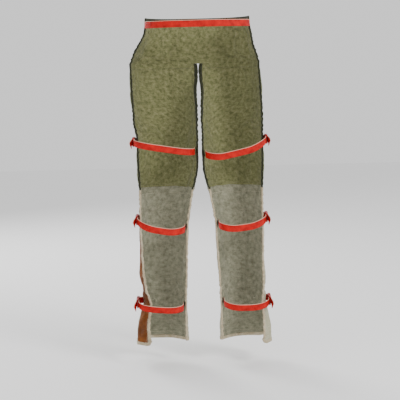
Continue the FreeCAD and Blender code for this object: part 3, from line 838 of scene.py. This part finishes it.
def strap_path(stem, row, side):
    """From the ladder lock's slot, back along the outer side, across behind the leg, to the inner edge."""
    low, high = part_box(f"left_{row}_strap")
    lock_low, lock_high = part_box(f"left_{row}_tongue")
    half = WEBBING_THICK / 2
    outer_x, inner_x, back_y = high.x - half, low.x + half, high.y - half
    lock_x = (lock_low.x + lock_high.x) / 2
    slot_y = lock_high.y - LOCK_SLOT
    z_outer = (lock_low.z + lock_high.z) / 2
    z_inner = low.z + WEBBING_WIDTH / 2 - STRAP_DROP[stem]
    corner = STRAP_CORNER
    # Through the slot and round its bar, then the two rounded corners behind the leg.
    plan = [(lock_x + 1.5 * MM, slot_y), (lock_x - 2.5 * MM, slot_y + 1 * MM), (outer_x, slot_y + 5 * MM)]
    plan += arc_points((outer_x - corner, back_y - corner), corner, 0, 90)
    plan += arc_points((inner_x + corner, back_y - corner), corner, 90, 180)
    plan.append((inner_x, low.y))
    plan = np.array(plan)
    share = np.clip((outer_x - plan[:, 0]) / (outer_x - inner_x), 0, 1)
    z = z_outer + (z_inner - z_outer) * share - STRAP_SAG[stem] * np.sin(math.pi * share) ** 0.8
    # It bends tightly at the lock, and loosely beyond it.
    path = eased(np.column_stack([plan, z]), 5 * MM)
    loose = eased(np.column_stack([plan, z]), 26 * MM)
    run = np.linspace(0, 1, len(path))[:, None]
    free = smoothstep((run - RELEASED_SHARE) * 12)
    return (path * (1 - free) + loose * free) * (side, 1, 1)


def leg_strap(side_name, row, red, red_thread):
    """A strap with its stitches, which ride on the leg."""
    side, stem = SIDES[side_name], f"{side_name}_{row}"
    body, release = f"{side_name}_{STRAP_BODY[row]}", f"{stem}_release"
    path = strap_path(stem, row, side)
    run = np.linspace(0, 1, len(path))[:, None]
    twist = STRAP_TWIST[row] * np.sin(math.pi * run)
    across = np.concatenate([0 * run, twist, 1 + 0 * run], -1)
    strap, strip = ribbon(f"{stem}_strap_webbing", path, across, red)
    declare(strap, stands_for=f"{stem}_strap")
    rows = [row for face in (1, -1) for row in box_stitch(strip, *STRAP_BOX, face)]
    stitched(f"{stem}_strap_stitches", rows, red_thread, body)
    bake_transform(strap)


# How a tail lies: outward and along the strap from the lock's slot in mm, and its share of the droop.
TAIL_PLAN = (
    (1.5, 0, 0), (3.6, 0.6, 0), (4.0, 4, 0), (4.0, 15, 0), (4.8, 26, 0.1), (6.4, 38, 0.5), (6.6, 47, 1.0),
)


def tail(stem, axis_out, axis_along, lock_box, release, red, droop):
    """The free end: out of the lock's front slot, back over the bars, and hanging a little beyond them."""
    centre = np.mean(lock_box, axis=0)
    out, along, down = np.array(axis_out, float), np.array(axis_along, float), np.array([0, 0, -droop])
    reach = max(np.dot(corner, along) for corner in lock_box)
    start = centre + along * (reach - LOCK_SLOT - np.dot(centre, along))
    points = [start + (out * off + along * on) * MM + down * share for off, on, share in TAIL_PLAN]
    path = eased(points, 4 * MM, 2 * MM)
    run = np.linspace(0, 1, len(path))[:, None]
    across = np.array([0, 0, 1.0]) + out * 0.25 * smoothstep((run - 0.5) * 2)
    piece = ribbon(f"{stem}_tail_webbing", path, across, red)[0]
    declare(piece, release, f"{stem}_tail")


# A tab's two runs stand this far off the shell. It leaves the shell this far behind its bar, in radians round
# the leg, after lying along it for the second angle; and it goes round the bar at a radius.
TAB_DEPTHS = (1.1 * MM, 2.9 * MM)
TAB_LEAVES, TAB_LIES = math.radians(24), math.radians(27)
BAR_RADIUS = 2.2 * MM


def tab(side_name, row, wrap, red, red_thread):
    """The loop that holds a receptacle: sewn to the shell, round the receptacle's bar, and back on itself."""
    side, stem = SIDES[side_name], f"{side_name}_{row}"
    body = f"{side_name}_{STRAP_BODY[row]}"
    low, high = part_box(f"left_{row}_receptacle")
    bar = np.array([(low.x + high.x) / 2, low.y + 2 * MM])
    level = (low.z + high.z) / 2
    radius, x, y, start, _, inner_run, _ = (float(v) for v in wrap.section(np.array(level)))
    bearing = math.atan2(bar[1] - y, bar[0] - x)
    leave = bearing % (2 * math.pi) - TAB_LEAVES
    angles = np.linspace(leave - TAB_LIES, leave, 12)
    outward = np.array([math.cos(bearing), math.sin(bearing), 0])
    along = inner_run + radius * (angles - start)
    plan = []
    for depth, trail in zip(TAB_DEPTHS, (1, -1)):
        on_shell = wrap.place(along, np.full(12, level), depth) * (side, 1, 1)
        bar_side = np.array([*bar, level]) - outward * BAR_RADIUS * trail
        plan += [*on_shell, bar_side][::trail]
        if trail > 0:
            plan.append(np.array([bar[0], bar[1] + 2.6 * MM, level]))
    path = eased(plan, 3 * MM, 2 * MM) * (side, 1, 1)
    piece, strip = ribbon(f"{stem}_tab_webbing", path, (0, 0, 1), red)
    declare(piece, body, f"{stem}_tab")
    stitched(f"{stem}_tab_stitches", box_stitch(strip, *TAB_BOX, -side), red_thread, body)


def belt(red):
    """The belt, from the receptacle's bar round the wearer's left and the back to the tongue.

    It is made in two: the part in front of the wearer's right hip is a piece of its own, and the rest rides on
    the waist.
    """
    low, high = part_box("belt_webbing")
    socket_low, socket_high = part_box("belt_receptacle")
    half = WEBBING_THICK / 2
    corner = (high.y - low.y) / 2 - half
    middle_x, middle_y = high.x - half - corner, (low.y + high.y) / 2
    front = low.y + half
    bar_x = socket_high.x - 2 * MM
    buckle_y = (socket_low.y + socket_high.y) / 2
    slot_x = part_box("belt_tongue")[0].x + LOCK_SLOT
    # Round the receptacle's bar, round the waist, and through the slot of the lock.
    plan = [(bar_x, buckle_y + 3.2 * MM), (bar_x - 2.8 * MM, buckle_y), (bar_x, buckle_y - 3.2 * MM),
            (bar_x + 16 * MM, buckle_y - 1 * MM), (bar_x + 24 * MM, front)]
    plan += arc_points((middle_x, middle_y), corner, 272, 450, 40)
    plan += arc_points((-middle_x, middle_y), corner, 90, 268, 40)
    plan += [(slot_x - 8 * MM, front), (slot_x - 1 * MM, buckle_y + 2.5 * MM), (slot_x, buckle_y - 1.5 * MM)]
    plan = np.array(plan)
    sag = 2.5 * MM * smoothstep(plan[:, 1] / corner)
    path = eased(np.column_stack([plan, -sag]), 4 * MM)
    run = np.linspace(0, 1, len(path))[:, None]
    across = np.concatenate([0 * run, 0.08 * np.sin(2 * math.pi * run), 1 + 0 * run], -1)
    hip = int(np.argmin(path[:, 0]))
    fixed = ribbon("belt_strap_webbing", path[:hip + 1], across[:hip + 1], red)[0]
    loose = ribbon("belt_front_webbing", path[hip:], across[hip:], red)[0]
    declare(fixed, "waist", "belt_webbing")
    declare(loose, stands_for="belt_webbing")
    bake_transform(loose)


# A loop's path up the apron: outward in mm, and the share of half its height.
LOOP_PLAN = (
    (0.7, -1.0), (0.8, -0.86), (1.6, -0.78), (3.7, -0.66), (4.2, -0.3),
    (4.2, 0.3), (3.7, 0.66), (1.6, 0.78), (0.8, 0.86), (0.7, 1.0),
)
LOOP_BEARINGS = (-58, -14)


def belt_loops(cloth, dark_thread):
    """Four loops of folded cloth over the belt, bar-tacked to the apron above and below it."""
    low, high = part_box("belt_loops")
    reach = (high.z - low.z) / 2
    section = APRON_SECTIONS[0] * MM
    radius, corner_x = section[1], section[2]
    loops, rows = [], []
    for side in (1, -1):
        for angle in np.radians(LOOP_BEARINGS):
            out = np.array([side * math.cos(angle), math.sin(angle), 0])
            beside = np.array([-out[1], out[0], 0])
            root = np.array([side * corner_x, 0, 0]) + out * radius
            points = [root + out * off * MM + np.array([0, 0, reach * share]) for off, share in LOOP_PLAN]
            path = eased(points, 2 * MM, 1 * MM)
            loops.append(ribbon("belt_loop", path, beside, cloth, 12 * MM, 1.2 * MM)[0])
            for end in (-1, 1):
                z = end * reach * 0.9
                line = np.linspace(-4.5 * MM, 4.5 * MM, 8)[:, None] * beside + root + out * 1.5 * MM
                for lift in (-0.7 * MM, 0.7 * MM):
                    rows.append((line + np.array([0, 0, z + lift]), np.tile(out, (8, 1))))
    whole = joined("belt_loops_cloth", loops)
    declare(whole, "waist", "belt_loops")
    stitched("belt_loop_stitches", rows, dark_thread, "waist")


def declare(piece, body=None, stands_for=None):
    """Give a piece the body it rides on, and hide the CAD node that it stands for."""
    if body:
        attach(piece, body)
    if stands_for:
        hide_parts(stands_for)


def joined(name, objects):
    """One mesh object from several, keeping their UVs."""
    with bpy.context.temp_override(active_object=objects[0], selected_editable_objects=objects):
        bpy.ops.object.join()
    objects[0].name = objects[0].data.name = name
    return objects[0]


# ---- the pieces of cloth ----

# The slots of each panel's shell, lining and tape.
PANEL_SLOTS = {
    "thigh": ("olive_shell", "olive_lining", "dark_binding"),
    "shin": ("sand_shell", "grey_lining", "sand_binding"),
}


def blended(pieces):
    """Bake each piece's world transform into its mesh."""
    for piece in pieces:
        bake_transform(piece)


def leg_panel(side_name, part, wrap, looks):
    """Shell, pad, lining, tape and stitches of one leg panel."""
    stem = f"{side_name}_{part}"
    thigh = part == "thigh"
    top, bottom, lap = (HIP_SEAM, KNEE_SEAM, HIP_LAP) if thigh else (KNEE_SEAM, HEM, LAP)
    panel = Panel(wrap, top, bottom, LEG_THICK)
    shell_slot, lining_slot, tape_slot = PANEL_SLOTS[part]
    shell = panel.layer(f"{stem}_shell_cloth", looks[shell_slot], 0, 0, SHELL_THICK, lap=lap)
    lining = panel.layer(f"{stem}_lining_cloth", looks[lining_slot], 1, 0, LINING_THICK, lap=-lap)
    pad = padding(f"{stem}_pad_layers", panel, looks["cut_resistant_layers"])
    pieces = [shell, pad, lining]
    for piece, layer, slot in zip(pieces, ("shell", "pad", "lining"),
                                  (shell_slot, "cut_resistant_layers", lining_slot)):
        declare(piece, stands_for=f"{stem}_{layer}")
    if thigh:
        spans = [[("inner", top, bottom)], [("outer", bottom, top)]]
    else:
        low = bottom + TAPE_CORNER
        spans = [[("inner", top, low), ("hem", bottom), ("outer", low, top)]]
    paths = [edge_path(wrap, span) for span in spans]
    tapes = [tape(f"{stem}_binding_tape", wrap, LEG_THICK, path, looks[tape_slot]) for path in paths]
    binding = joined(f"{stem}_binding_tape", tapes) if len(tapes) > 1 else tapes[0]
    declare(binding, stands_for=f"{stem}_binding")
    rows = [row for path in paths for row in tape_rows(wrap, path, LEG_THICK)]
    rows += quilt_rows(panel, 0, 1) + quilt_rows(panel, 1, -1)
    sewing_thread = looks["thread_dark" if thigh else "thread_sand"]
    sewing = stitched(f"{stem}_stitches", on_wrap(wrap, rows), sewing_thread)
    pieces += [binding, sewing]
    flat = (round(float(np.mean(wrap.width(np.linspace(bottom, top, 9)))), 3), round(top - bottom, 3))
    blended(pieces)


def wing_facing(wrap, looks):
    """The strip of brown duck sewn on the outside of the left shin's wing, beside the edge tape."""
    panel = Panel(wrap, KNEE_SEAM, HEM, LEG_THICK)
    z = np.arange(HEM + FACING_GAP / 2, KNEE_SEAM - 3 * MM, 4 * MM)[:, None]
    width = wrap.width(z)
    far = np.linspace(FACING_GAP + FACING_WIDTH, FACING_GAP, 14)[None, :]
    along, z = np.broadcast_arrays(width - far, z)
    outer = panel.faces(along, z)[0]
    in_from_edge = np.minimum(far - FACING_GAP, FACING_GAP + FACING_WIDTH - far)
    lift = FACING_THICK * smoothstep(in_from_edge / MM + 0.35)
    top, under = wrap.place(along, z, outer + lift), wrap.place(along, z, outer - 0.2 * MM)
    facing = slab("left_shin_facing_strip", top[::-1], under[::-1], np.stack([along, z], -1)[::-1],
                  looks["brown_facing"])
    rows = []
    for inset in (FACING_GAP + 2 * MM, FACING_GAP + FACING_WIDTH - 2 * MM):
        line = width[:, 0] - inset
        rows.append((line, z[:, 0], panel.faces(line, z[:, 0])[0] + FACING_THICK, 1))
    sewing = stitched("left_shin_facing_stitches", on_wrap(wrap, rows), looks["thread_sand"])
    blended([facing, sewing])


def padding(name, panel, material):
    """The cut-resistant layers between shell and lining."""
    along, z = panel.grid(-2 * MM)
    along, z = np.broadcast_arrays(along, z)
    outer, inner = panel.faces(along, z)
    uvs = np.stack([along, z], -1)
    under_shell = panel.wrap.place(along, z, outer - SHELL_THICK - LAYER_GAP)
    over_lining = panel.wrap.place(along, z, inner + LINING_THICK + LAYER_GAP)
    return slab(name, under_shell, over_lining, uvs, material, panel.wrap.side < 0)


def apron(wrap, looks):
    """The unpadded front panel that hangs on the belt, with a tape round its top and sides."""
    panel = Panel(wrap, RIM, HIP_SEAM, APRON_THICK)
    shell = panel.layer("apron_shell_cloth", looks["olive_shell"], 0, 0, SHELL_THICK)
    lining = panel.layer("apron_lining_cloth", looks["olive_lining"], 1, 0, LINING_THICK)
    for piece, slot in ((shell, "olive_shell"), (lining, "olive_lining")):
        declare(piece, "waist", piece.name.removesuffix("_cloth"))
        round(2 * float(wrap.width(np.array(-0.05))), 3)
    path = apron_outline(wrap)
    binding = tape("apron_binding_tape", wrap, APRON_THICK, path, looks["dark_binding"])
    declare(binding, "waist", "apron_binding")
    rows = tape_rows(wrap, path, APRON_THICK)
    stitched("apron_stitches", on_wrap(wrap, rows), looks["thread_dark"], "waist")


def apron_outline(wrap, corner=TAPE_CORNER, step=TAPE_STEP):
    """Up the wearer's right edge, along the top, and down the left edge, as rows for tape()."""
    centre = corner - edge_at(wrap, RIM)
    rows = [(-edge_at(wrap, z), z, -1, 0) for z in np.arange(HIP_SEAM, RIM - corner, step)]
    rows += round_corner(centre, RIM - corner, corner, 180, 90)
    rows += [(along, RIM, 0, 1) for along in np.arange(centre + step, 0, step)]
    return np.array(rows + [(-along, z, -out, up) for along, z, out, up in rows[::-1]])


# Each cloth's yarn pitch and mottle size in mm, whether it is a twill, and its dark, middle and light tones.
CLOTHS = {
    "olive_shell": (0.9, 30, True, ((70, 76, 40), (98, 102, 58), (122, 124, 78))),
    "olive_lining": (1.1, 5.5, True, ((74, 78, 44), (118, 121, 78), (150, 146, 108))),
    "sand_shell": (0.9, 40, False, ((166, 161, 130), (190, 186, 158), (206, 203, 180))),
    "grey_lining": (1.1, 7, True, ((104, 104, 84), (140, 139, 116), (166, 164, 142))),
    "brown_facing": (1.0, 26, False, ((90, 46, 10), (124, 66, 18), (150, 88, 32))),
    "dark_binding": (0.8, 9, True, ((24, 27, 13), (38, 41, 23), (58, 60, 38))),
    "sand_binding": (0.8, 12, True, ((158, 142, 112), (190, 175, 145), (214, 203, 178))),
    "cut_resistant_layers": (2.2, 20, False, ((196, 190, 170), (224, 220, 202), (240, 238, 226))),
}
# Width of the pale band painted along the webbing's upper edge as a highlight.
TOP_HIGHLIGHT_WIDTH = 1.4 * MM


def materials():
    """Every finish, by the record's slot where it has one."""
    looks = {slot: woven(slot, pitch * MM, tones, mottle * MM, twill)
             for slot, (pitch, mottle, twill, tones) in CLOTHS.items()}
    looks["red_webbing"] = webbing("red_webbing_weave", ((136, 3, 0), (184, 6, 0), (212, 16, 2)),
                                   WEBBING_WIDTH - TOP_HIGHLIGHT_WIDTH)
    looks["red_buckle"] = moulded("red_moulded_nylon", ((116, 2, 0), (156, 4, 0), (184, 11, 2)))
    looks["thread_dark"] = thread("dark_thread", (64, 62, 40))
    looks["thread_sand"] = thread("sand_thread", (214, 204, 176))
    looks["thread_red"] = thread("red_thread", (150, 22, 10))
    return looks


def buckles(material):
    """The CAD's own buckles stay in view and are given their finish."""
    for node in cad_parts:
        if node.endswith(("receptacle", "tongue")):
            finish = bpy.data.objects[node].data.materials
            finish.clear()
            finish.append(material)


def floor():
    bpy.ops.mesh.primitive_plane_add(size=14, location=(0, 0, HEM - 75 * MM))
    plane = bpy.context.object
    plane.name = "studio_floor"
    plane.data.materials.append(plain_floor())


camera()
lights()
floor()
LOOKS = materials()
buckles(LOOKS["red_buckle"])
apron(apron_wrap(), LOOKS)
belt(LOOKS["red_webbing"])
tail("belt", (0, -1, 0), (-1, 0, 0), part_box("belt_tongue"), "belt_release", LOOKS["red_webbing"], 0.0)
belt_loops(LOOKS["olive_shell"], LOOKS["thread_dark"])
for side_name, side in SIDES.items():
    surface = leg_wrap(side_name)
    for part in ("thigh", "shin"):
        leg_panel(side_name, part, surface, LOOKS)
    if side_name == "left":
        wing_facing(surface, LOOKS)
    for row in STRAP_ROWS:
        stem = f"{side_name}_{row}"
        leg_strap(side_name, row, LOOKS["red_webbing"], LOOKS["thread_red"])
        tab(side_name, row, surface, LOOKS["red_webbing"], LOOKS["thread_red"])
        tail(stem, (side, 0, 0), (0, 1, 0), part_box(f"{stem}_tongue"), f"{stem}_release", LOOKS["red_webbing"],
             9 * MM)
